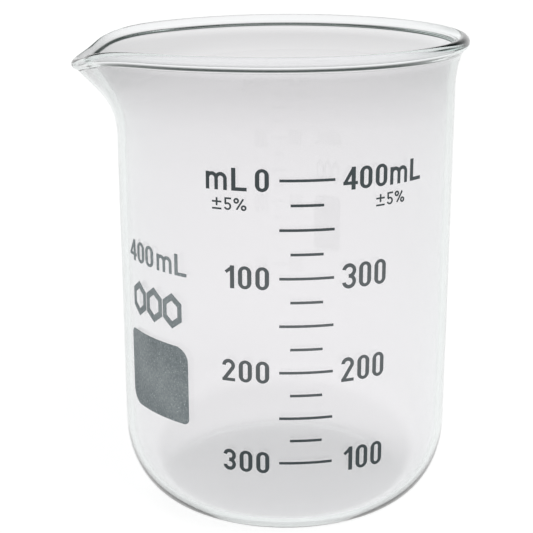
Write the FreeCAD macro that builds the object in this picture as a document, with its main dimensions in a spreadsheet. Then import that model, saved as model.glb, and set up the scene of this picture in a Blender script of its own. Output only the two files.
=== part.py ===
import FreeCAD, Part
import math
import os

# Low-form laboratory beaker of 400 mL: one blown glass vessel with a fire-polished rim and a pulled
# pouring spout, and enamel marks fired on the outside of its wall.
# Frame: +Z up, origin at the centre of the flat underside, spout towards -X, scale near -Y. Millimetres.

os.makedirs("parts", exist_ok=True)
doc = FreeCAD.newDocument("LowFormBeaker")
V = FreeCAD.Vector

# ---------------------------------------------------------------------------------------------
# Driving sizes
# ---------------------------------------------------------------------------------------------
SIZES = [
    ("body_radius", 40.0, "outside radius of the straight wall"),
    ("overall_height", 112.8, "underside to the top of the rim"),
    ("wall_thickness", 1.74, "glass thickness of the wall"),
    ("base_thickness", 2.2, "glass thickness of the base"),
    ("heel_width", 11.5, "how far the heel curves in from the wall"),
    ("heel_share", 0.156, "height of the heel curve, share of the overall height"),
    ("rim_flare", 2.24, "how far the bead's centre stands out from the middle of the wall"),
    ("flare_length", 9.9, "length of the wall that leans out into the rim"),
    ("bead_radius", 1.5, "radius of the fire-polished rim bead"),
    ("neck_length", 1.8, "length over which the wall thickens into the bead"),
    ("spout_reach", 8.13, "how far the spout's tip stands out beyond the rim"),
    ("spout_droop", 5.33, "how far the spout's tip hangs below the rim"),
    ("print_clearance", 0.3, "plain wall between the top row of print and the spout's root"),
    ("spout_spread", 37.6, "degrees either side over which the spout swells"),
    ("lip_spread", 24.85, "degrees either side over which the spout droops"),
    ("shoulder_pinch", 1.48, "how far the rim is pinched in beside the spout's tip"),
    ("shoulder_rise", 0.48, "how far the rim stands up beside the spout"),
    ("tip_thinning", 0.31, "how much thinner the bead's radius is at the stretched tip"),
    ("scale_heading", -86.0, "degrees, heading of the scale's middle"),
    ("top_mark_share", 0.7668, "height of the top mark, share of the overall height"),
    ("step_share", 0.04818, "distance between marks, share of the overall height"),
    ("mark_thickness", 0.6, "height of one graduation line"),
    ("long_mark", 12.0, "length of a main graduation line along the wall"),
    ("short_mark", 7.2, "length of an intermediate graduation line along the wall"),
    ("enamel_thickness", 0.08, "how far the fired enamel stands off the glass"),
    ("digit_height", 5.4, "height of the scale's numerals"),
    ("digit_width", 3.0, "width of one numeral"),
    ("pen", 0.95, "width of the numerals' upright strokes"),
    ("level_pen", 0.72, "width of the numerals' level strokes"),
    ("spot_width", 21.0, "width of the marking spot along the wall"),
    ("spot_height", 18.6, "height of the marking spot"),
    ("spot_corner", 3.6, "radius of the marking spot's two round corners"),
    ("spot_tight_corner", 1.4, "radius of its two tight corners"),
]

sheet = doc.addObject("Spreadsheet::Sheet", "Sizes")
for row, (alias, value, words) in enumerate(SIZES, start=1):
    sheet.set(f"A{row}", words)
    sheet.set(f"B{row}", str(value))
    sheet.setAlias(f"B{row}", alias)
doc.recompute()


def size(alias):
    """One driving size, read from the sheet."""
    return float(sheet.get(alias))


R = size("body_radius")
H = size("overall_height")
WALL = size("wall_thickness")
FLOOR = size("base_thickness")
BEAD = size("bead_radius")
HEEL_HIGH = size("heel_share") * H
TOP_MARK = size("top_mark_share") * H
STEP = size("step_share") * H
BEAD_CENTRE = H - BEAD
MID_RADIUS = R - WALL / 2
DIGIT_W = size("digit_width")
DIGIT_H = size("digit_height")
CAP = DIGIT_H * 0.92        # height of the top row's numerals and capitals
SMALL = CAP * 0.78          # height of the small letter m

# The spout is pulled from the wall between the top row of print and the bead
SPOUT_LENGTH = BEAD_CENTRE - (TOP_MARK + CAP / 2) - size("print_clearance")

finished = []


def keep(obj, name):
    """Name an object as one finished piece."""
    obj.Label = name
    finished.append(obj)
    return obj


# ---------------------------------------------------------------------------------------------
# The glass: rings of points joined into one skin, from the underside over the rim to the floor
# ---------------------------------------------------------------------------------------------
SPOUT_HEADING = math.pi
RING_POINTS = 80
TIP_ROUNDING = 0.03        # radians: keeps the spout's tip from coming to a point
BEND_SHARE = 0.594         # share of the spout's length that curves out of the wall; the rest is straight
SWELL_POWER = 1.69         # 1 would be a sharp beak, 2 a broad round one
LIP_POWER = 1.27
PINCH_HEADING = 0.173      # headings and spreads are in radians from the spout's tip
PINCH_SPREAD = 0.155
RISE_HEADING = 0.503
RISE_SPREAD = 0.294
THIN_SPREAD = 0.51


def turn_from_tip(theta):
    """Angle from the spout's heading, either way round, softened at the tip itself."""
    turn = math.remainder(theta - SPOUT_HEADING, 2 * math.pi)
    return math.hypot(turn, TIP_ROUNDING) - TIP_ROUNDING


def hump(away, centre, spread):
    """A bell of height 1 about a heading."""
    return math.exp(-(((away - centre) / spread) ** 2))


def spout_swell(theta):
    """Share of the spout's reach at this heading: 1 at the tip, 0 far round the rim."""
    return math.exp(-((turn_from_tip(theta) / math.radians(size("spout_spread"))) ** SWELL_POWER))


def spout_drop(theta):
    """How far the rim droops at this heading, less the rise of the shoulder beside the spout."""
    away = turn_from_tip(theta)
    droop = math.exp(-((away / math.radians(size("lip_spread"))) ** LIP_POWER))
    return size("spout_droop") * droop - size("shoulder_rise") * hump(away, RISE_HEADING, RISE_SPREAD)


def bead_radius(theta):
    """Radius of the rim bead at this heading; the glass is stretched thinner at the spout's tip."""
    return BEAD - size("tip_thinning") * hump(turn_from_tip(theta), 0.0, THIN_SPREAD)


def chute_ramp(share):
    """Rises from 0 to 1 along the spout: a parabola through the bend, then a straight line."""
    if share < BEND_SHARE:
        rise = share**2 / (2 * BEND_SHARE)
    else:
        rise = share - BEND_SHARE / 2
    return rise / (1 - BEND_SHARE / 2)


def wall_middle(theta, share):
    """Middle of the glass, as (radius, height); share 0 is the spout's root, 1 the bead's centre.

    Away from the spout the wall leans out along an arc into the rim. At the spout that arc gives way
    to the straight chute, which reaches the same rim and the spout's own reach beyond it.
    """
    height = BEAD_CENTRE - SPOUT_LENGTH * (1 - share)
    flare = size("rim_flare")
    length = size("flare_length")
    bend_radius = (length**2 + flare**2) / (2 * flare)
    climb = max(0.0, height - (BEAD_CENTRE - length))
    lean = bend_radius - math.sqrt(bend_radius**2 - climb**2)
    ramp = chute_ramp(share)
    swell = spout_swell(theta)
    pinch = size("shoulder_pinch") * hump(turn_from_tip(theta), PINCH_HEADING, PINCH_SPREAD)
    chute = ((size("spout_reach") + flare) * swell - pinch) * ramp
    return MID_RADIUS + lean * (1 - swell) + chute, height - spout_drop(theta) * ramp


def wall_direction(theta, share):
    """Unit direction of the wall, climbing, in the (radius, height) plane."""
    nudge = 1e-3
    r0, z0 = wall_middle(theta, max(0.0, share - nudge))
    r1, z1 = wall_middle(theta, min(1.0, share + nudge))
    run = math.hypot(r1 - r0, z1 - z0)
    return (r1 - r0) / run, (z1 - z0) / run


def half_thickness(theta, share):
    """Half the glass thickness: the wall's, growing into the bead's radius at the neck."""
    below = SPOUT_LENGTH * (1 - share)
    x = min(1.0, max(0.0, 1 - below / size("neck_length")))
    return WALL / 2 + (bead_radius(theta) - WALL / 2) * x * x * (3 - 2 * x)


def face_point(theta, share, side):
    """A point on the outside (side +1) or the inside (side -1) of the upper wall."""
    r, z = wall_middle(theta, share)
    dr, dz = wall_direction(theta, share)
    offset = side * half_thickness(theta, share)
    return r + dz * offset, z - dr * offset


def bead_point(theta, angle):
    """A point on the rim bead; angle 0 is its outside, 180 degrees its inside."""
    r, z = wall_middle(theta, 1.0)
    dr, dz = wall_direction(theta, 1.0)
    c = bead_radius(theta) * math.cos(angle)
    s = bead_radius(theta) * math.sin(angle)
    return r + dz * c + dr * s, z - dr * c + dz * s


def heel_point(angle, inside):
    """A point on the heel's quarter ellipse; angle 0 is on the base, 90 degrees on the wall."""
    width = size("heel_width")
    reach = width - WALL if inside else width
    low = FLOOR if inside else 0.0
    rise = HEEL_HIGH - low
    return R - width + reach * math.sin(angle), low + rise * (1 - math.cos(angle))


HEEL_STEPS = 9
CHUTE_STEPS = 14
NECK_STEPS = 5
BEAD_STEPS = 8
neck_share = size("neck_length") / SPOUT_LENGTH
UPPER_SHARES = [(1 - neck_share) * i / CHUTE_STEPS for i in range(CHUTE_STEPS)]
UPPER_SHARES += [1 - neck_share * (1 - i / NECK_STEPS) for i in range(NECK_STEPS + 1)]


def heading(i):
    """The i-th heading around a ring, set closer together at the spout."""
    phase = 2 * math.pi * i / RING_POINTS
    return phase - 0.85 * math.sin(phase) + SPOUT_HEADING


def ring_wire(place):
    """A smooth closed ring; place gives its (radius, height) at each heading."""
    points = []
    for i in range(RING_POINTS):
        theta = heading(i)
        r, z = place(theta)
        points.append(V(r * math.cos(theta), r * math.sin(theta), z))
    curve = Part.BSplineCurve()
    steps = [i / RING_POINTS for i in range(RING_POINTS + 1)]
    curve.interpolate(Points=points, PeriodicFlag=True, Parameters=steps)
    return Part.Wire(curve.toShape())


def heel_rings(inside):
    """Rings up the heel, from the flat of the base to the wall."""
    rings = []
    for i in range(HEEL_STEPS + 1):
        r, z = heel_point(math.pi / 2 * i / HEEL_STEPS, inside)
        rings.append(ring_wire(lambda theta: (r, z)))
    return rings


def upper_rings(side):
    """Rings up one face of the upper wall, from the spout's root to the bead."""
    return [ring_wire(lambda theta: face_point(theta, share, side)) for share in UPPER_SHARES]


outer_heel = heel_rings(False)
inner_heel = heel_rings(True)
outer_upper = upper_rings(1)
inner_upper = upper_rings(-1)
bead_rings = [outer_upper[-1]]
for i in range(1, BEAD_STEPS):
    bead_rings.append(ring_wire(lambda theta: bead_point(theta, math.pi * i / BEAD_STEPS)))
bead_rings.append(inner_upper[-1])

# Each stretch of skin shares its first and last ring with its neighbours
stretches = [
    outer_heel,
    [outer_heel[-1], outer_upper[0]],
    outer_upper,
    bead_rings,
    inner_upper,
    [inner_heel[-1], inner_upper[0]],
    inner_heel,
]
skin = [Part.Face(outer_heel[0]), Part.Face(inner_heel[0])]
for rings in stretches:
    skin += Part.makeLoft(rings, False, len(rings) == 2).Faces
shell = Part.Shell(skin)
shell.sewShape()
vessel = Part.Solid(shell)
if vessel.Volume < 0:
    vessel.reverse()
glass = doc.addObject("Part::Feature", "GlassBody")
glass.Shape = vessel
glass.Placement = FreeCAD.Placement()
keep(glass, "glass_body")


# ---------------------------------------------------------------------------------------------
# The enamel layer: a thin tube on the wall that every mark is cut from
# ---------------------------------------------------------------------------------------------
def cylinder(name, radius_rule, angle_rule="360"):
    """A cylinder about the beaker's axis with its sizes bound to the sheet."""
    obj = doc.addObject("Part::Cylinder", name)
    obj.setExpression("Radius", radius_rule)
    obj.setExpression("Angle", angle_rule)
    return obj


layer_out = cylinder("EnamelOutside", "Sizes.body_radius + Sizes.enamel_thickness")
layer_in = cylinder("EnamelInside", "Sizes.body_radius")
for obj in (layer_out, layer_in):
    obj.setExpression("Height", "Sizes.overall_height")
layer = doc.addObject("Part::Cut", "EnamelLayer")
layer.Base = layer_out
layer.Tool = layer_in

# Graduation lines: thin sectors of the layer, long at each 50 mL and short between
CAPACITY = 400
MARK_VOLUME = 25
LAST_MARK = 100
volumes = list(range(CAPACITY, LAST_MARK - 1, -MARK_VOLUME))
for index, volume in enumerate(volumes):
    length = "long_mark" if volume % (2 * MARK_VOLUME) == 0 else "short_mark"
    sweep = f"Sizes.{length} / Sizes.body_radius * 180 / pi"
    outer = cylinder(f"MarkOutside{volume}", "Sizes.body_radius + Sizes.enamel_thickness", sweep)
    inner = cylinder(f"MarkInside{volume}", "Sizes.body_radius")
    for obj in (outer, inner):
        obj.setExpression("Height", "Sizes.mark_thickness")
        obj.setExpression(".Placement.Base.z",
                          "Sizes.overall_height * (Sizes.top_mark_share"
                          f" - {index} * Sizes.step_share) - Sizes.mark_thickness / 2")
        obj.Placement.Rotation = FreeCAD.Rotation(V(0, 0, 1), 0)
    half_sweep = math.degrees(size(length) / R) / 2
    outer.Placement.Rotation = FreeCAD.Rotation(V(0, 0, 1), size("scale_heading") - half_sweep)
    mark = doc.addObject("Part::Cut", f"Mark{volume}")
    mark.Base = outer
    mark.Tool = inner
    keep(mark, f"graduation_{volume}")


# ---------------------------------------------------------------------------------------------
# Flat strokes for numerals and letters, x to the right and y up, later pressed onto the wall
# ---------------------------------------------------------------------------------------------
def polygon(*corners):
    """A flat face from its corners."""
    points = [V(x, y, 0) for x, y in corners]
    return Part.Face(Part.makePolygon(points + points[:1]))


def bar(x0, y0, x1, y1):
    """An upright rectangular stroke between two corners."""
    return polygon((x0, y0), (x1, y0), (x1, y1), (x0, y1))


def slant(x0, y0, x1, y1, pen):
    """A straight stroke of the pen's width between two points."""
    run = math.hypot(x1 - x0, y1 - y0)
    nx = -(y1 - y0) / run * pen / 2
    ny = (x1 - x0) / run * pen / 2
    return polygon((x0 - nx, y0 - ny), (x1 - nx, y1 - ny), (x1 + nx, y1 + ny), (x0 + nx, y0 + ny))


def arc(cx, cy, radius, pen, start, end):
    """A curved stroke about a centre, from one angle to another in degrees."""
    edges = []
    for r in (radius - pen / 2, radius + pen / 2):
        edges.append(Part.makeCircle(r, V(cx, cy, 0), V(0, 0, 1), start, end))
    a, b = (edge.Vertexes for edge in edges)
    ends = [Part.makeLine(a[0].Point, b[0].Point), Part.makeLine(a[1].Point, b[1].Point)]
    return Part.Face(Part.Wire(Part.__sortEdges__([edges[0], ends[1], edges[1], ends[0]])))


def stadium(w, h):
    """A tall face with round ends."""
    r = w / 2
    return Part.Face(Part.Wire(Part.__sortEdges__([
        Part.makeLine(V(0, r, 0), V(0, h - r, 0)),
        Part.makeCircle(r, V(r, h - r, 0), V(0, 0, 1), 0, 180),
        Part.makeLine(V(w, h - r, 0), V(w, r, 0)),
        Part.makeCircle(r, V(r, r, 0), V(0, 0, 1), 180, 360),
    ])))


def glyph(letter, w, h, pen, level):
    """The strokes of one numeral or letter in a box w wide and h high, as a list of faces.

    Upright strokes are as wide as the pen and level ones as the level pen; curves are in between.
    """
    curve = (pen + level) / 2
    r = (w - curve) / 2
    half = curve / 2
    if letter == "0":
        hole = stadium(w - 2 * pen, h - 2 * level)
        hole.translate(V(pen, level, 0))
        return [stadium(w, h).cut(hole)]
    if letter == "1":
        return [bar(w - pen, 0, w, h),
                slant(level * 0.3, h * 0.70, w - pen * 0.6, h - level * 0.62, level)]
    if letter == "2":
        top = h - half - r
        return [arc(w / 2, top, r, curve, -25, 180), bar(0, 0, w, level),
                slant(half * 1.1, level * 0.6, w / 2 + r * 0.92, top - r * 0.40, curve)]
    if letter == "3":
        q = (h - curve) / 4
        return [arc(w / 2, half + 3 * q, q, curve, -95, 170), arc(w / 2, half + q, q, curve, -170, 95)]
    if letter == "4":
        stem = w - 1.55 * pen
        shelf = h * 0.22
        return [bar(stem, 0, stem + pen, h), bar(0, shelf, w, shelf + level),
                slant(level / 2, shelf + level / 2, stem + level * 0.55, h - level * 0.4, level)]
    if letter == "5":
        return [bar(0.1 * w, h - level, w, h), bar(0.1 * w, h * 0.5, 0.1 * w + pen, h),
                arc(w / 2, half + r, r, curve, -160, 140)]
    if letter == "m":
        arch = (w - pen) / 4
        spring = h - pen / 2 - arch
        legs = [bar(x, 0, x + pen, spring) for x in (2 * arch, 4 * arch)]
        return legs + [bar(0, 0, pen, h), arc(pen / 2 + arch, spring, arch, pen, 0, 180),
                       arc(pen / 2 + 3 * arch, spring, arch, pen, 0, 180)]
    if letter == "L":
        return [bar(0, 0, pen, h), bar(0, 0, w, level)]
    if letter == "+":
        middle = h * 0.62
        return [bar(0, middle - level / 2, w, middle + level / 2),
                bar((w - pen) / 2, h * 0.3, (w + pen) / 2, h * 0.94), bar(0, 0, w, level)]
    if letter == "%":
        ring = w * 0.15
        return [arc(ring + half, h - ring - half, ring, curve, 0, 359.9),
                arc(w - ring - half, ring + half, ring, curve, 0, 359.9),
                slant(w * 0.24, half, w * 0.76, h - half, curve)]
    raise ValueError(letter)


def pressed(faces, arc_position, height, depth=1.0):
    """Push flat strokes through the wall at a place measured along it from the scale's middle."""
    turn = size("scale_heading") + math.degrees(arc_position / R)
    upright = FreeCAD.Rotation(V(1, 0, 0), 90)
    around = FreeCAD.Rotation(V(0, 0, 1), turn + 90)
    blocks = []
    for face in faces:
        block = face.extrude(V(0, 0, 2 * depth))
        block.Placement = FreeCAD.Placement(around.multVec(V(0, depth - R, height)),
                                            around.multiply(upright))
        blocks.append(block)
    return blocks


def label(name, glyphs):
    """Cut a group of pressed glyphs out of the enamel layer as one piece of print."""
    blocks = []
    for letter, start, height, w, h, pen, level in glyphs:
        faces = glyph(letter, w, h, pen, level)
        for face in faces:
            face.translate(V(-w / 2, -h / 2, 0))
        blocks += pressed(faces, start + w / 2, height)
    strokes = doc.addObject("Part::Feature", name.title().replace("_", "") + "Strokes")
    strokes.Shape = blocks[0].multiFuse(blocks[1:])
    print_piece = doc.addObject("Part::Common", name.title().replace("_", ""))
    print_piece.Base = layer
    print_piece.Tool = strokes
    keep(print_piece, name)


PEN = size("pen")
LEVEL = size("level_pen")
UNIT_PENS = (PEN * 0.85, LEVEL)      # the letter m is drawn lighter than the numerals
LETTER_PENS = (PEN, LEVEL * 1.08)
DIGIT_STEP = DIGIT_W * 1.29
LEFT_EDGE = -8.2            # the left numerals end here, measured along the wall
RIGHT_EDGE = 8.0            # the right numerals start here


def row_height(volume):
    """Height of a volume's graduation line."""
    return TOP_MARK - STEP * (CAPACITY - volume) / MARK_VOLUME


def digits(text, start, height, h=DIGIT_H):
    """Numerals set side by side from a start along the wall."""
    group = []
    for i, letter in enumerate(text):
        w = DIGIT_W * (1.12 if letter == "4" else 0.72 if letter == "1" else 1.0)
        x = start + i * DIGIT_STEP + (DIGIT_W - w if letter == "1" else 0.0)
        group.append((letter, x, height, w, h, PEN, LEVEL))
    return group


# Right side: the volume that the beaker holds up to each line. Left side: how much has been poured.
for volume in (300, 200, 100):
    label(f"numeral_{volume}_right", digits(str(volume), RIGHT_EDGE, row_height(volume), DIGIT_H * 1.06))
    poured = str(CAPACITY - volume)
    label(f"numeral_{poured}_left",
          digits(poured, LEFT_EDGE - 2 * DIGIT_STEP - DIGIT_W, row_height(volume), DIGIT_H * 0.96))

top = row_height(CAPACITY)
label("numeral_400_right", digits("400", RIGHT_EDGE - 0.2, top, CAP))


def unit(m_start, l_start, height):
    """The letters m and L, standing on one line."""
    return [("m", m_start, height - (CAP - SMALL) / 2, 4.9, SMALL, *UNIT_PENS),
            ("L", l_start, height, 3.4, CAP, *LETTER_PENS)]


label("unit_right", unit(19.4, 25.3, top))
label("numeral_0_left", digits("0", LEFT_EDGE - DIGIT_W, top, CAP))
label("unit_left", unit(-22.3, -16.4, top))


def tolerance(name, start):
    """The plus-or-minus five percent note one line below the top row."""
    height = row_height(CAPACITY - MARK_VOLUME)
    note = CAP * 0.56
    pens = (PEN * 0.42, PEN * 0.40)
    label(name, [("+", start, height, 2.2, note, *pens), ("5", start + 2.75, height, 1.7, note, *pens),
                 ("%", start + 4.95, height, 2.9, note, *pens)])


tolerance("tolerance_left", -20.9)
tolerance("tolerance_right", 15.8)

# The capacity note on the left of the beaker, level with the 300 mL line
NOTE_RISE = 0.8
note_row = row_height(300) + NOTE_RISE
capacity = [("4", -49.2, note_row, 3.5, CAP, PEN, LEVEL)]
capacity += [("0", start, note_row, 3.1, CAP, PEN, LEVEL) for start in (-45.1, -41.4)]
label("capacity_label", capacity + unit(-37.0, -31.2, note_row))

# ---------------------------------------------------------------------------------------------
# The emblem, a row of plain six-sided rings, and the marking spot below it
# ---------------------------------------------------------------------------------------------
GROUP_MIDDLE = -38.5        # middle of the left group, measured along the wall
EMBLEM_SHARE = 0.482        # height of the emblem's middle, share of the overall height
SPOT_SHARE = 0.327          # height of the spot's middle, share of the overall height
EMBLEM_RADIUS = 4.2
EMBLEM_PEN = 1.75
EMBLEM_RINGS = 3
EMBLEM_LEAN = 0.80          # the rings are drawn narrower than they are tall


def hexagon(radius):
    """A six-sided face standing on a corner, narrowed across its width."""
    turns = [math.radians(90 + 60 * i) for i in range(6)]
    return polygon(*[(EMBLEM_LEAN * radius * math.cos(a), radius * math.sin(a)) for a in turns])


ring_width = 2 * EMBLEM_LEAN * EMBLEM_RADIUS * math.cos(math.radians(30))
ring_pitch = ring_width + 0.35
emblem_blocks = []
for i in range(EMBLEM_RINGS):
    ring = hexagon(EMBLEM_RADIUS).cut(hexagon(EMBLEM_RADIUS - EMBLEM_PEN))
    place = GROUP_MIDDLE + (i - (EMBLEM_RINGS - 1) / 2) * ring_pitch
    emblem_blocks += pressed([ring], place, EMBLEM_SHARE * H, 1.5)
emblem_strokes = doc.addObject("Part::Feature", "EmblemStrokes")
emblem_strokes.Shape = emblem_blocks[0].multiFuse(emblem_blocks[1:])
emblem = doc.addObject("Part::Common", "Emblem")
emblem.Base = layer
emblem.Tool = emblem_strokes
keep(emblem, "ring_emblem")

# Marking spot: a rounded block, drawn in a sketch and padded outwards through the wall
spot_body = doc.addObject("PartDesign::Body", "SpotBlock")
plane = [obj for obj in spot_body.Origin.OriginFeatures if obj.Role == "XZ_Plane"][0]
outline = spot_body.newObject("Sketcher::SketchObject", "SpotOutline")
outline.AttachmentSupport = [(plane, "")]
outline.MapMode = "FlatFace"
half_w = size("spot_width") / 2
half_h = size("spot_height") / 2
round_corner = size("spot_corner")
tight_corner = size("spot_tight_corner")
corners = []
for sx, sy, start, corner in ((1, 1, 0, round_corner), (-1, 1, 90, tight_corner),
                              (-1, -1, 180, round_corner), (1, -1, 270, tight_corner)):
    centre = V(sx * (half_w - corner), sy * (half_h - corner), 0)
    piece = Part.ArcOfCircle(Part.Circle(centre, V(0, 0, 1), corner), math.radians(start),
                             math.radians(start + 90))
    corners.append(piece)
for piece, following in zip(corners, corners[1:] + corners[:1]):
    outline.addGeometry(piece, False)
    outline.addGeometry(Part.LineSegment(piece.EndPoint, following.StartPoint), False)
pad = spot_body.newObject("PartDesign::Pad", "SpotPad")
pad.Profile = outline
pad.setExpression("Length", "Sizes.body_radius * 1.2")
doc.recompute()
spot_turn = size("scale_heading") + math.degrees(GROUP_MIDDLE / R) + 90
if pad.Shape.BoundBox.YMax > 1.0:
    pad.Reversed = True
spot_body.Placement = FreeCAD.Placement(V(0, 0, SPOT_SHARE * H), FreeCAD.Rotation(V(0, 0, 1), spot_turn))
spot = doc.addObject("Part::Common", "MarkingSpot")
spot.Base = layer
spot.Tool = spot_body
keep(spot, "marking_spot")

# ---------------------------------------------------------------------------------------------
# Check every object, then write each finished piece
# ---------------------------------------------------------------------------------------------
doc.recompute()
for obj in doc.Objects:
    if "Invalid" in obj.State or "Error" in obj.State:
        raise RuntimeError(f"{obj.Label} did not build")
for obj in finished:
    if obj.Shape.isNull() or not obj.Shape.isValid() or obj.Shape.Volume <= 0:
        raise RuntimeError(f"{obj.Label} has no sound shape")
    obj.Shape.exportStep(f"parts/{obj.Label}.step")
    print(obj.Label, len(obj.Shape.Solids), round(obj.Shape.Volume, 3))
print(len(finished), "pieces")
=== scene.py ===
"""Looks of a low-form laboratory beaker: clear blown glass with fired enamel marks.

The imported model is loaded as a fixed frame. The glass is worked out again here as one smooth closed
skin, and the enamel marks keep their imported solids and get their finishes.
"""

import logging
import math
from dataclasses import dataclass, field
from enum import Enum
from typing import Dict, List, Optional, Sequence, Tuple, Union

import bpy
import numpy as np
from mathutils import Euler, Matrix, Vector


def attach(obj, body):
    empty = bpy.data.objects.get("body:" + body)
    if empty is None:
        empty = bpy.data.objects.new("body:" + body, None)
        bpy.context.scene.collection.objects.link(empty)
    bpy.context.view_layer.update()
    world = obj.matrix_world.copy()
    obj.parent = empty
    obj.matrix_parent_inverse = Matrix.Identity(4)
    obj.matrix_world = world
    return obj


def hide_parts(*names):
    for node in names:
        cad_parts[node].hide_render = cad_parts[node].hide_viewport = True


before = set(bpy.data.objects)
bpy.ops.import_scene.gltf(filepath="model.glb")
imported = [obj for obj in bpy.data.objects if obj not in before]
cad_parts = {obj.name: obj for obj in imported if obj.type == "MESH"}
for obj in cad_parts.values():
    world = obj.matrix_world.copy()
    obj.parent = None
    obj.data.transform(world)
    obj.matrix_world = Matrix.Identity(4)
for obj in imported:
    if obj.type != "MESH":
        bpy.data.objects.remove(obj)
log = logging.getLogger("beaker")
Number = Union[int, float]
Colour = Tuple[float, float, float]


class Finish(Enum):
    """The finishes a piece can have, by the record's slot names."""

    GLASS = "borosilicate_glass"
    PRINT = "fired_enamel"
    SPOT = "spot_enamel"


# ---------------------------------------------------------------------------------------------
# Shader recipes
# ---------------------------------------------------------------------------------------------
class Signal:
    """One shader socket that can be added, subtracted and multiplied like a number."""

    def __init__(self, recipe: "Recipe", socket: bpy.types.NodeSocket) -> None:
        """Keep the recipe that owns the socket."""
        self.recipe = recipe
        self.socket = socket

    def _maths(self, operation: str, *terms: Union["Signal", Number]) -> "Signal":
        """Add one Math node.

        Args:
            operation: the Math node's operation.
            terms: its inputs, in order.

        Returns:
            The node's result.
        """
        return self.recipe.node("ShaderNodeMath", {"operation": operation}, dict(enumerate(terms)))

    def __add__(self, other: Union["Signal", Number]) -> "Signal":
        """Sum."""
        return self._maths("ADD", self, other)

    def __radd__(self, other: Number) -> "Signal":
        """Sum with a number first."""
        return self._maths("ADD", other, self)

    def __sub__(self, other: Union["Signal", Number]) -> "Signal":
        """Difference."""
        return self._maths("SUBTRACT", self, other)

    def __rsub__(self, other: Number) -> "Signal":
        """A number less this."""
        return self._maths("SUBTRACT", other, self)

    def __mul__(self, other: Union["Signal", Number]) -> "Signal":
        """Product."""
        return self._maths("MULTIPLY", self, other)

    def __rmul__(self, other: Number) -> "Signal":
        """Product with a number first."""
        return self._maths("MULTIPLY", other, self)

    def clamped(self) -> "Signal":
        """Held between 0 and 1."""
        return self._maths("MINIMUM", self._maths("MAXIMUM", self, 0.0), 1.0)


Value = Union[Signal, Number, Sequence[float]]


class Recipe:
    """A material being put together from nodes."""

    def __init__(self, name: str) -> None:
        """Start an empty material.

        Args:
            name: the material's name.
        """
        self.material = bpy.data.materials.new(name)
        self.material.use_nodes = True
        self.tree = self.material.node_tree
        self.tree.nodes.clear()

    def node(self, kind: str, settings: Optional[Dict[str, object]] = None,
             inputs: Optional[Dict[Union[str, int], Value]] = None, output: Union[str, int] = 0) -> Signal:
        """Add one node.

        Args:
            kind: the node's type.
            settings: its own properties, set first; "stops" holds a colour ramp's stops.
            inputs: values or signals for its sockets, by name or number.
            output: the output to hand back.

        Returns:
            The chosen output as a signal.
        """
        made = self.tree.nodes.new(kind)
        for key, value in (settings or {}).items():
            if key == "stops":
                ramp = made.color_ramp.elements
                while len(ramp) < len(value):
                    ramp.new(0.5)
                for element, (position, colour) in zip(ramp, value):
                    element.position = position
                    element.color = (*colour, 1.0)
            else:
                setattr(made, key, value)
        for key, value in (inputs or {}).items():
            socket = made.inputs[key]
            if isinstance(value, Signal):
                self.tree.links.new(value.socket, socket)
            else:
                socket.default_value = value
        return Signal(self, made.outputs[output])

    def place(self) -> Signal:
        """Object coordinates, in metres."""
        return self.node("ShaderNodeTexCoord", output="Object")

    def level(self) -> Signal:
        """Height above the underside, in metres."""
        return self.node("ShaderNodeSeparateXYZ", {}, {"Vector": self.place()}, "Z")

    def noise(self, at: Signal, per_metre: float, detail: float = 2.0, rough: float = 0.5) -> Signal:
        """Cloudy noise between about 0 and 1.

        Args:
            at: the coordinates to read.
            per_metre: how many blobs fit in a metre.
            detail: octaves.
            rough: weight of the finer octaves.

        Returns:
            The noise as a number.
        """
        return self.node("ShaderNodeTexNoise", {}, {"Vector": at, "Scale": per_metre, "Detail": detail,
                                                    "Roughness": rough}, "Fac")

    def blend(self, share: Value, first: Value, second: Value) -> Signal:
        """Mix two colours.

        Args:
            share: 0 gives the first, 1 the second.
            first: a colour.
            second: a colour.

        Returns:
            The mixed colour.
        """
        made = self.tree.nodes.new("ShaderNodeMix")
        made.data_type = "RGBA"
        for index, value in ((0, share), (6, first), (7, second)):
            if isinstance(value, Signal):
                self.tree.links.new(value.socket, made.inputs[index])
            else:
                made.inputs[index].default_value = value if index == 0 else (*value, 1.0)
        return Signal(self, made.outputs[2])

    def bump(self, height: Signal, depth: float, strength: float = 1.0) -> Signal:
        """A bump of a real depth.

        Args:
            height: the relief, between 0 and 1.
            depth: what 1 stands for, in metres.
            strength: how fully it shows.

        Returns:
            The bent normal.
        """
        return self.node("ShaderNodeBump", {}, {"Height": height, "Distance": depth, "Strength": strength},
                         "Normal")

    def finish(self, surface: Signal, volume: Optional[Signal] = None) -> bpy.types.Material:
        """Join the shaders to the output.

        Args:
            surface: the surface shader.
            volume: the volume shader, if there is one.

        Returns:
            The finished material.
        """
        ends: Dict[Union[str, int], Value] = {"Surface": surface}
        if volume is not None:
            ends["Volume"] = volume
        made = self.tree.nodes.new("ShaderNodeOutputMaterial")
        for key, value in ends.items():
            self.tree.links.new(value.socket, made.inputs[key])
        return self.material


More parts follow.
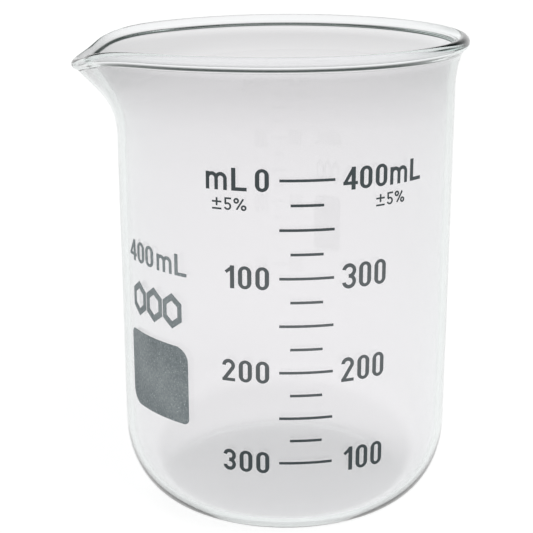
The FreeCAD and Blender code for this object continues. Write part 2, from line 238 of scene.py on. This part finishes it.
@dataclass(frozen=True)
class ClearGlass:
    """Blown borosilicate glass: clear, faintly green through its length, with slight waves.

    Its colour is greyed by height as painted shade: a little over the body, least on the bead and most
    just under the rim. It is given as heights, in shares of the vessel's, each with the light that gets
    through. The shares are given, and stand for no measured property of the glass.
    """

    index: float = 1.473
    vessel_height: float = 0.1128
    # painted shade: light let through at each height share, greying the glass most just under the rim
    painted_shade: Tuple[Tuple[float, float], ...] = ((0.00, 0.902), (0.30, 0.902), (0.62, 0.880), (0.74, 0.876),
                                             (0.85, 0.830), (0.93, 0.725), (0.955, 0.725), (0.978, 0.945))
    painted_shade_hue: Colour = (1.050, 1.018, 1.037)
    clear_colour: Colour = (0.48, 0.74, 0.66)
    absorption_per_metre: float = 45.0
    wave_depth: float = 0.00003
    waves_per_metre: float = 42.0
    film_depth: float = 0.0000010
    smears_per_metre: float = 210.0
    smear_from: float = 0.56
    smear_roughness: float = 0.06
    relief_strength: float = 0.5

    def mix(self) -> bpy.types.Material:
        """Build the material.

        Returns:
            Smooth glass whose polish is broken by faint waves and by a thin film of handling marks.
        """
        recipe = Recipe("clear blown glass")
        place = recipe.place()
        waves = recipe.noise(place, self.waves_per_metre, detail=1.0)
        smears = recipe.noise(place, self.smears_per_metre, detail=3.0, rough=0.6)
        polish = (smears - self.smear_from).clamped() * self.smear_roughness
        height = waves + smears * (self.film_depth / self.wave_depth)
        relief = recipe.bump(height, self.wave_depth, self.relief_strength)
        # the painted shade's stops, tinted by its hue, read along the vessel's height
        stops = [(at, tuple(min(1.0, clear * hue) for hue in self.painted_shade_hue)) for at, clear in self.painted_shade]
        share = recipe.level() * (1.0 / self.vessel_height)
        painted_shade = recipe.node("ShaderNodeValToRGB", {"stops": stops}, {"Fac": share})
        surface = recipe.node("ShaderNodeBsdfPrincipled", {}, {
            "Base Color": painted_shade, "Roughness": polish, "IOR": self.index,
            "Transmission Weight": 1.0, "Normal": relief}, "BSDF")
        volume = recipe.node("ShaderNodeVolumeAbsorption", {}, {
            "Color": (*self.clear_colour, 1.0), "Density": self.absorption_per_metre}, "Volume")
        return recipe.finish(surface, volume)


@dataclass(frozen=True)
class FiredEnamel:
    """Ceramic ink fused to the glass: satin, a little mottled, with fine pale specks.

    The ink can be paler round one height, by a parabola that falls to nothing at the spread.
    """

    name: str
    dark: Colour
    light: Colour
    sheen_roughness: float
    grain_per_metre: float
    speck_per_metre: float
    speck_share: float
    index: float = 1.52
    gloss: float = 0.5
    drift_per_metre: float = 90.0
    drift_share: float = 0.45
    contrast: float = 1.6
    paleness: float = 0.42
    speck_edge: float = 9.0
    speck_strength: float = 0.55
    speck_lift: float = 2.1
    roughness_swing: float = 0.22
    grain_depth: float = 0.00002
    grain_strength: float = 0.6
    # a band of paler colour round one height, by a parabola that falls to nothing at the spread
    pale_band_level: float = 0.053
    pale_band_spread: float = 0.024
    pale_band_colour: Colour = (0.0, 0.0, 0.0)
    pale_band_share: float = 0.0

    def mix(self) -> bpy.types.Material:
        """Build the material.

        Returns:
            A dielectric whose colour drifts between two greys, with the specks over it.
        """
        recipe = Recipe(self.name)
        place = recipe.place()
        drift = recipe.noise(place, self.drift_per_metre, detail=2.0)
        grain = recipe.noise(place, self.grain_per_metre, detail=3.0, rough=0.65)
        specks = recipe.noise(place, self.speck_per_metre, detail=1.0)
        cloud = drift * self.drift_share + grain * (1.0 - self.drift_share)
        mottle = (cloud - 0.5) * self.contrast + self.paleness
        base = recipe.blend(mottle.clamped(), self.dark, self.light)
        # paler colour round one height, falling to none at the spread
        if self.pale_band_share > 0.0:
            off = (recipe.level() - self.pale_band_level) * (1.0 / self.pale_band_spread)
            base = recipe.blend((1.0 - off * off).clamped() * self.pale_band_share, base, self.pale_band_colour)
        pale = ((specks - (1.0 - self.speck_share)) * self.speck_edge).clamped() * self.speck_strength
        colour = recipe.blend(pale, base, tuple(min(1.0, c * self.speck_lift) for c in self.light))
        rough = self.sheen_roughness + (grain - 0.5) * self.roughness_swing
        normal = recipe.bump(grain, self.grain_depth, self.grain_strength)
        surface = recipe.node("ShaderNodeBsdfPrincipled", {}, {
            "Base Color": colour, "Roughness": rough, "IOR": self.index, "Specular IOR Level": self.gloss,
            "Normal": normal}, "BSDF")
        return recipe.finish(surface)


# ---------------------------------------------------------------------------------------------
# The glass vessel
# ---------------------------------------------------------------------------------------------
def eased(x: np.ndarray) -> np.ndarray:
    """Ease from 0 to 1 with level ends: 3x^2 - 2x^3, held at both ends."""
    x = np.clip(x, 0.0, 1.0)
    return x * x * (3.0 - 2.0 * x)


@dataclass
class GlassVessel:
    """The blown body: base, heel, wall, flared rim with its bead, and the pulled spout.

    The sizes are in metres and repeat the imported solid's own. The steps are how finely each stretch of
    the profile is drawn.
    """

    radius: float = 0.0400
    height: float = 0.1128
    wall: float = 0.00174
    floor: float = 0.0022
    heel_width: float = 0.0115
    heel_height: float = 0.156 * 0.1128
    flare: float = 0.00224
    flare_length: float = 0.0099
    bead: float = 0.0015
    neck: float = 0.0018
    reach: float = 0.00813
    droop: float = 0.00533
    top_mark: float = 0.7668 * 0.1128
    top_row_half: float = 0.0054 * 0.92 / 2.0
    print_clearance: float = 0.0003
    swell_spread: float = math.radians(37.6)
    swell_power: float = 1.69
    lip_spread: float = math.radians(24.85)
    lip_power: float = 1.27
    pinch: float = 0.00148
    pinch_heading: float = 0.173
    pinch_spread: float = 0.155
    rise: float = 0.00048
    rise_heading: float = 0.503
    rise_spread: float = 0.294
    thinning: float = 0.00031
    pale_band_spread: float = 0.51
    tip_rounding: float = 0.03
    bend_share: float = 0.594
    spout_heading: float = math.pi
    around: int = 448
    crowding: float = 0.6
    inner_spoke: float = 0.12
    spokes: int = 9
    heel_steps: int = 25
    wall_steps: int = 12
    pull_steps: int = 27
    neck_steps: int = 17
    bead_steps: int = 23
    object: Optional[bpy.types.Object] = field(default=None, init=False)

    def headings(self) -> np.ndarray:
        """Headings round the vessel, closer together at the spout.

        Returns:
            p - crowding sin p about the spout's heading, for p in equal steps of a full turn.
        """
        turn = np.arange(self.around) * (2.0 * math.pi / self.around)
        return turn - self.crowding * np.sin(turn) + self.spout_heading

    @property
    def pull_length(self) -> float:
        """Height of wall, between the top row of print and the bead's centre, drawn into the spout."""
        return self.height - self.bead - self.top_mark - self.top_row_half - self.print_clearance

    def away(self, theta: np.ndarray) -> np.ndarray:
        """Turn from the spout's tip, either way round: a hyperbola, so that the tip stays round."""
        turn = np.remainder(theta - self.spout_heading + math.pi, 2.0 * math.pi) - math.pi
        return np.hypot(turn, self.tip_rounding) - self.tip_rounding

    def hump(self, theta: np.ndarray, heading: float, spread: float) -> np.ndarray:
        """A bell, exp(-((away - heading) / spread)^2)."""
        return np.exp(-(((self.away(theta) - heading) / spread) ** 2))

    def pull(self, theta: np.ndarray) -> Tuple[np.ndarray, np.ndarray, np.ndarray]:
        """How the rim is drawn out and let down at each heading.

        Swell and droop both fall off as exp(-(away / spread)^power); a bell beside the tip pinches the
        rim in, and a wider one lifts the shoulder.

        Args:
            theta: headings.

        Returns:
            The swell from 0 to 1, and the pinch and the drop in metres.
        """
        away = self.away(theta)
        swell = np.exp(-((away / self.swell_spread) ** self.swell_power))
        droop = self.droop * np.exp(-((away / self.lip_spread) ** self.lip_power))
        pinch = self.pinch * self.hump(theta, self.pinch_heading, self.pinch_spread)
        return swell, pinch, droop - self.rise * self.hump(theta, self.rise_heading, self.rise_spread)

    def bead_radius(self, theta: np.ndarray) -> np.ndarray:
        """The bead's radius, a little less where the spout's tip is stretched."""
        return self.bead - self.thinning * self.hump(theta, 0.0, self.pale_band_spread)

    def ramp(self, share: np.ndarray) -> np.ndarray:
        """The spout's rise along the wall: a parabola through the bend, then a straight line to 1."""
        bend = self.bend_share
        return np.where(share < bend, share**2 / (2.0 * bend), share - bend / 2.0) / (1.0 - bend / 2.0)

    def middle(self, theta: np.ndarray, share: np.ndarray) -> Tuple[np.ndarray, np.ndarray]:
        """Middle of the glass in the upper wall.

        The wall is upright and leans out along an arc into the rim; at the spout that arc gives way to
        the straight chute, drawn out and down by the ramp.

        Args:
            theta: headings, one row each.
            share: shares of the pulled length, one column each.

        Returns:
            Radius and height, as grids.
        """
        centre = self.height - self.bead
        rise = centre - self.pull_length * (1.0 - share)
        bend_radius = (self.flare_length**2 + self.flare**2) / (2.0 * self.flare)
        climb = np.maximum(0.0, rise - (centre - self.flare_length))
        lean = bend_radius - np.sqrt(bend_radius**2 - climb**2)
        swell, pinch, drop = self.pull(theta)
        ramp = self.ramp(share)
        chute = ((self.reach + self.flare) * swell - pinch) * ramp
        return self.radius - self.wall / 2.0 + lean * (1.0 - swell) + chute, rise - drop * ramp

    def upper(self, theta: np.ndarray, share: np.ndarray) -> Tuple[np.ndarray, ...]:
        """Middle line, climbing direction and half thickness of the upper wall.

        Args:
            theta: headings, one row each.
            share: shares of the pulled length, one column each.

        Returns:
            Radius, height, the direction's radial and upward parts, and the half thickness.
        """
        nudge = 1e-3
        r, z = self.middle(theta, share)
        r0, z0 = self.middle(theta, np.maximum(0.0, share - nudge))
        r1, z1 = self.middle(theta, np.minimum(1.0, share + nudge))
        run = np.hypot(r1 - r0, z1 - z0)
        thick = eased(1.0 - self.pull_length * (1.0 - share) / self.neck)
        half = self.wall / 2.0 + (self.bead_radius(theta) - self.wall / 2.0) * thick
        return r, z, (r1 - r0) / run, (z1 - z0) / run, half

    def skin(self) -> Tuple[np.ndarray, np.ndarray]:
        """The whole skin as a grid of points, heading by step along the profile.

        The profile climbs the outer heel as a quarter ellipse, the outer wall as a line and the upper
        wall's outer face, goes half round the bead, and comes down the inner faces to the floor.

        Returns:
            Radius and height, each shaped (headings, steps).
        """
        theta = self.headings()[:, None]
        one = np.ones_like(theta)
        flat = self.radius - self.heel_width
        root = self.height - self.bead - self.pull_length
        neck_root = 1.0 - self.neck / self.pull_length
        spokes = np.linspace(self.inner_spoke, 1.0, self.spokes)[None, :-1]
        angle = np.linspace(0.0, math.pi / 2.0, self.heel_steps)[None, :]
        climb = np.linspace(0.0, 1.0, self.wall_steps)[None, 1:-1]
        pulled = np.linspace(0.0, neck_root, self.pull_steps)[:-1]
        necked = np.linspace(neck_root, 1.0, self.neck_steps)
        share = np.concatenate([pulled, necked])[None, :]
        bead_angle = np.linspace(0.0, math.pi, self.bead_steps)[None, 1:-1]

        base = (one * flat * spokes, one * np.zeros_like(spokes))
        heel_out = (one * (flat + self.heel_width * np.sin(angle)),
                    one * (self.heel_height * (1.0 - np.cos(angle))))
        wall_level = one * (self.heel_height + (root - self.heel_height) * climb)
        wall_out = (one * self.radius + 0.0 * climb, wall_level)
        r, z, dr, dz, half = self.upper(theta, share)
        face_out = (r + dz * half, z - dr * half)
        face_in = (r - dz * half, z + dr * half)
        rc, zc, drc, dzc, tube = self.upper(theta, np.ones((1, 1)))
        across = tube * np.cos(bead_angle)
        along = tube * np.sin(bead_angle)
        bead = (rc + dzc * across + drc * along, zc - drc * across + dzc * along)
        wall_in = (one * (self.radius - self.wall) + 0.0 * climb, wall_level)
        heel_in = (one * (flat + (self.heel_width - self.wall) * np.sin(angle)),
                   one * (self.floor + (self.heel_height - self.floor) * (1.0 - np.cos(angle))))
        inside_floor = (one * flat * spokes, one * np.full_like(spokes, self.floor))
        downward = [tuple(a[:, ::-1] for a in face) for face in (face_in, wall_in, heel_in, inside_floor)]
        columns = [base, heel_out, wall_out, face_out, bead, *downward]
        return (np.concatenate([c[0] for c in columns], axis=1),
                np.concatenate([c[1] for c in columns], axis=1))

    def build(self, glass: bpy.types.Material) -> bpy.types.Object:
        """Make the vessel's mesh and put it in the scene.

        Args:
            glass: its material.

        Returns:
            The finished object, closed at the middle of the base and of the floor.
        """
        r, z = self.skin()
        theta = self.headings()[:, None]
        grid = np.stack([r * np.cos(theta), r * np.sin(theta), z], axis=2)
        rows, steps = r.shape
        points = np.concatenate([grid.reshape(-1, 3), [[0.0, 0.0, 0.0]], [[0.0, 0.0, self.floor]]])
        here = np.arange(rows)[:, None] * steps + np.arange(steps - 1)[None, :]
        there = (np.arange(rows)[:, None] + 1) % rows * steps + np.arange(steps - 1)[None, :]
        quads = np.stack([here, there, there + 1, here + 1], axis=2).reshape(-1, 4)
        this = np.arange(rows) * steps
        that = (np.arange(rows) + 1) % rows * steps
        under = np.stack([np.full(rows, rows * steps), that, this], axis=1)
        inside = np.stack([np.full(rows, rows * steps + 1), this + steps - 1, that + steps - 1], axis=1)
        mesh = bpy.data.meshes.new("glass_vessel")
        mesh.from_pydata(points.tolist(), [], quads.tolist() + under.tolist() + inside.tolist())
        mesh.polygons.foreach_set("use_smooth", np.ones(len(mesh.polygons), dtype=bool))
        mesh.materials.append(glass)
        mesh.update()
        vessel = bpy.data.objects.new("glass_vessel", mesh)
        bpy.context.scene.collection.objects.link(vessel)
        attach(vessel, "root")
        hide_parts("glass_body")
        self.object = vessel
        return vessel


# ---------------------------------------------------------------------------------------------
# The enamel print
# ---------------------------------------------------------------------------------------------
@dataclass
class EnamelPrint:
    """The marks fired on the wall: the scale with its numerals, and the group with the spot."""

    spot_group: Tuple[str, ...] = ("capacity_label", "ring_emblem", "marking_spot")

    def dress(self, finishes: Dict[Finish, bpy.types.Material]) -> List[str]:
        """Give each packed mark its enamel.

        Args:
            finishes: the materials by finish.

        Returns:
            The names of the marks that were dressed.
        """
        dressed = []
        for name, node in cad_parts.items():
            if name == "glass_body":
                continue
            finish = Finish.SPOT if name in self.spot_group else Finish.PRINT
            for place in node.material_slots:
                place.material = finishes[finish]
            dressed.append(name)
        return dressed


# ---------------------------------------------------------------------------------------------
# Studio
# ---------------------------------------------------------------------------------------------
@dataclass
class Studio:
    """A white bench under the beaker, a sky round it, and soft panels of light.

    The sky's belts are given by the sine of their height above the bench's level.
    """

    floor_size: float = 3.0
    floor_glow: float = 0.92
    floor_grey: float = 0.30
    floor_steps: int = 24
    floor_drop: float = 0.00002
    sky_low: Colour = (1.0, 1.0, 1.0)
    sky_high: Colour = (0.012, 0.030, 0.024)
    white_up_to: float = 0.10
    dark_from: float = 0.38
    dark_up_to: float = 0.66
    grey_from: float = 0.90
    sky_top: Colour = (0.20, 0.225, 0.215)
    aim: Tuple[float, float, float] = (0.0, 0.0, 0.05)

    def lay_floor(self) -> bpy.types.Object:
        """A white surface to stand on.

        Returns:
            The floor, a square sheet that glows evenly and takes a little of the panels' light.
        """
        steps = self.floor_steps
        row = steps + 1
        side = np.linspace(-self.floor_size, self.floor_size, row)
        gx, gy = np.meshgrid(side, side, indexing="ij")
        gz = np.full_like(gx, -self.floor_drop)
        points = np.stack([gx, gy, gz], axis=2).reshape(-1, 3)
        i = (np.arange(steps)[:, None] * row + np.arange(steps)[None, :]).ravel()
        faces = np.stack([i, i + row, i + row + 1, i + 1], axis=1)
        mesh = bpy.data.meshes.new("bench_sheet")
        mesh.from_pydata(points.tolist(), [], faces.tolist())
        recipe = Recipe("white bench sheet")
        glow = recipe.node("ShaderNodeBsdfPrincipled", {}, {
            "Base Color": (self.floor_grey, self.floor_grey, self.floor_grey, 1.0), "Roughness": 1.0,
            "Specular IOR Level": 0.0, "Emission Color": (1.0, 1.0, 1.0, 1.0),
            "Emission Strength": self.floor_glow}, "BSDF")
        mesh.materials.append(recipe.finish(glow))
        sheet = bpy.data.objects.new("bench_sheet", mesh)
        bpy.context.scene.collection.objects.link(sheet)
        return sheet

    def hang_sky(self) -> None:
        """Light from all round: white at the level of the bench, a dark belt above it, grey overhead."""
        world = bpy.data.worlds.new("studio_air")
        bpy.context.scene.world = world
        world.use_nodes = True
        nodes, links = world.node_tree.nodes, world.node_tree.links
        nodes.clear()
        where = nodes.new("ShaderNodeTexCoord")
        split = nodes.new("ShaderNodeSeparateXYZ")
        ramp = nodes.new("ShaderNodeValToRGB")
        belts = ((self.white_up_to, self.sky_low), (self.dark_from, self.sky_high),
                 (self.dark_up_to, self.sky_high), (self.grey_from, self.sky_top))
        stops = ramp.color_ramp.elements
        while len(stops) < len(belts):
            stops.new(1.0)
        for stop, (position, colour) in zip(stops, belts):
            stop.position = position
            stop.color = (*colour, 1.0)
        air = nodes.new("ShaderNodeBackground")
        end = nodes.new("ShaderNodeOutputWorld")
        links.new(where.outputs["Generated"], split.inputs[0])
        links.new(split.outputs["Z"], ramp.inputs[0])
        links.new(ramp.outputs["Color"], air.inputs["Color"])
        links.new(air.outputs["Background"], end.inputs["Surface"])

    def set_panel(self, name: str, at: Tuple[float, float, float], size: Tuple[float, float],
                  power: float) -> bpy.types.Object:
        """Hang one soft panel that faces the beaker and lights its print.

        The glass neither mirrors nor shows it, so no panel's outline crosses the wall.

        Args:
            name: the lamp's name.
            at: its place, in metres.
            size: its width and height, in metres.
            power: its power, in watts.

        Returns:
            The lamp.
        """
        lamp = bpy.data.lights.new(name, "AREA")
        lamp.shape = "RECTANGLE"
        lamp.size, lamp.size_y = size
        lamp.energy = power
        hung = bpy.data.objects.new(name, lamp)
        hung.location = at
        hung.visible_glossy = False
        hung.visible_transmission = False
        facing = Vector(self.aim) - Vector(at)
        hung.rotation_euler = facing.to_track_quat("-Z", "Y").to_euler()
        bpy.context.scene.collection.objects.link(hung)
        return hung


@dataclass
class Viewpoint:
    """The camera: where it stands relative to the beaker and how it looks down.

    Places are in metres, turns in radians, and the lens and its sensor in millimetres.
    """

    distance: float = 0.31234
    height: float = 0.15000
    aside: float = -0.00456
    pitch_down: float = 0.2937
    roll: float = 0.0022
    lens_length: float = 89.248255
    sensor_width: float = 36.0
    nearest: float = 0.01
    farthest: float = 50.0
    turn: float = math.radians(-2.0)

    def set_up(self) -> bpy.types.Object:
        """Place the camera.

        Returns:
            The scene's camera.
        """
        lens = bpy.data.cameras.new("viewpoint")
        lens.sensor_width = self.sensor_width
        lens.lens = self.lens_length
        lens.clip_start = self.nearest
        lens.clip_end = self.farthest
        camera = bpy.data.objects.new("viewpoint", lens)
        c, s = math.cos(self.turn), math.sin(self.turn)
        x, y = self.aside, -self.distance
        camera.location = (c * x - s * y, s * x + c * y, self.height)
        tilt = Euler((math.pi / 2.0 - self.pitch_down, 0.0, 0.0)).to_matrix()
        spin = Euler((0.0, 0.0, self.turn)).to_matrix()
        bank = Euler((0.0, 0.0, -self.roll)).to_matrix()
        camera.rotation_euler = (spin @ tilt @ bank).to_euler()
        bpy.context.scene.collection.objects.link(camera)
        bpy.context.scene.camera = camera
        return camera


def main() -> None:
    """Build the beaker's looks in order."""
    logging.basicConfig(level=logging.INFO, format="%(name)s: %(message)s")
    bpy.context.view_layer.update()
    finishes = {
        Finish.GLASS: ClearGlass().mix(),
        Finish.PRINT: FiredEnamel(
            "dark slate enamel", dark=(0.034, 0.047, 0.052), light=(0.060, 0.076, 0.082),
            sheen_roughness=0.42, grain_per_metre=2600.0, speck_per_metre=5200.0, speck_share=0.30,
            gloss=0.3, pale_band_colour=(0.125, 0.138, 0.145), pale_band_share=1.0).mix(),
        Finish.SPOT: FiredEnamel(
            "grey marking enamel", dark=(0.115, 0.145, 0.160), light=(0.385, 0.422, 0.432),
            sheen_roughness=0.60, grain_per_metre=1700.0, speck_per_metre=3000.0, speck_share=0.36,
            contrast=2.2).mix(),
    }
    vessel = GlassVessel().build(finishes[Finish.GLASS])
    log.info("%s: %d faces", vessel.name, len(vessel.data.polygons))
    for name in EnamelPrint().dress(finishes):
        log.info("%s dressed", name)
    studio = Studio()
    studio.lay_floor()
    studio.hang_sky()
    studio.set_panel("front_panel", at=(0.9, -1.1, 1.1), size=(0.9, 0.9), power=9.0)
    studio.set_panel("back_panel", at=(-0.7, 1.2, 1.0), size=(0.9, 0.6), power=6.0)
    Viewpoint().set_up()
    bpy.context.scene.view_settings.view_transform = "Standard"


if __name__ == "__main__":
    main()
